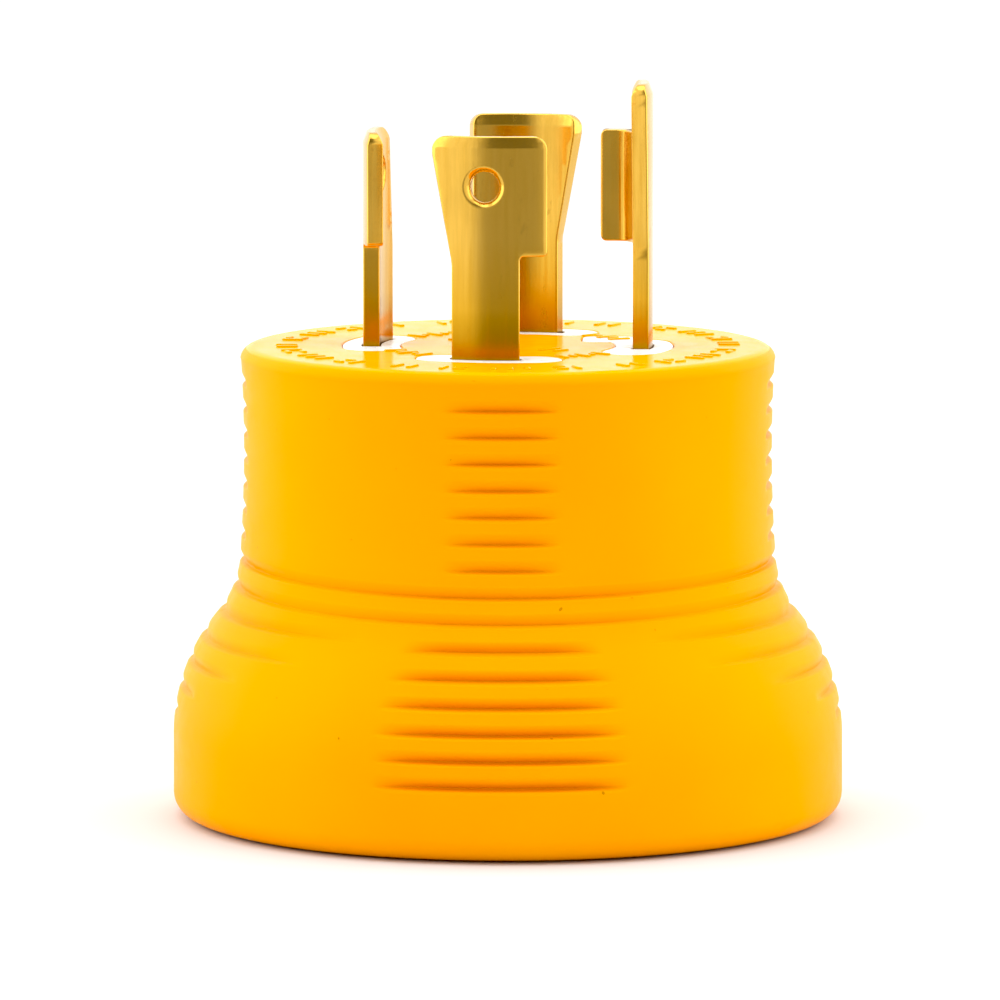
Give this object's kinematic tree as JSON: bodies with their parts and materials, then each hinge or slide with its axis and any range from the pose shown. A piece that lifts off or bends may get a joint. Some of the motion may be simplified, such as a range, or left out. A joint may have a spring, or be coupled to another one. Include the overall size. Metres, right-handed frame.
{
  "type": "power adapter dogbone",
  "caption": "Compact moulded power adapter: yellow bell-shaped body with grip grooves, locking blades on the narrow end and a straight-blade socket in the wide end.",
  "frame": {"origin": "centre of the socket end, on the flat rim that the adapter stands on", "axes": "+Z out of the plug end, -Y towards the X leg, +Y towards the Y leg, -X neutral, +X ground"},
  "size_m": [0.0676, 0.0676, 0.0741],
  "materials": {
    "yellow_vinyl": "glossy moulded vinyl, fine surface texture",
    "white_nylon": "glossy moulded nylon",
    "grey_nylon": "as moulded",
    "black_filler": "as moulded",
    "blade_brass": "polished, with rolling lines and light handling marks",
    "contact_brass": "mill finish",
    "spring_steel": "spring temper strip",
    "copper": "bright copper conductor",
    "sleeve_black": "extruded insulation",
    "sleeve_red": "extruded insulation",
    "sleeve_white": "extruded insulation",
    "sleeve_green": "extruded insulation"
  },
  "bodies": {
    "root": {"overmold_shell": "yellow_vinyl", "plug_carrier": "white_nylon", "blade_x": "blade_brass", "blade_y": "blade_brass", "blade_neutral": "blade_brass", "blade_ground": "blade_brass", "socket_face": "white_nylon", "contact_housing": "grey_nylon", "inner_premold": "black_filler", "contact_x": "contact_brass", "contact_y": "contact_brass", "contact_neutral": "contact_brass", "contact_ground": "contact_brass", "spring_clip_x": "spring_steel", "spring_clip_y": "spring_steel", "spring_clip_neutral": "spring_steel", "spring_clip_ground": "spring_steel", "lead_x": "copper", "lead_y": "copper", "lead_neutral": "copper", "lead_ground": "copper", "sleeve_x": "sleeve_black", "sleeve_y": "sleeve_red", "sleeve_neutral": "sleeve_white", "sleeve_ground": "sleeve_green"}
  },
  "joints": []
}
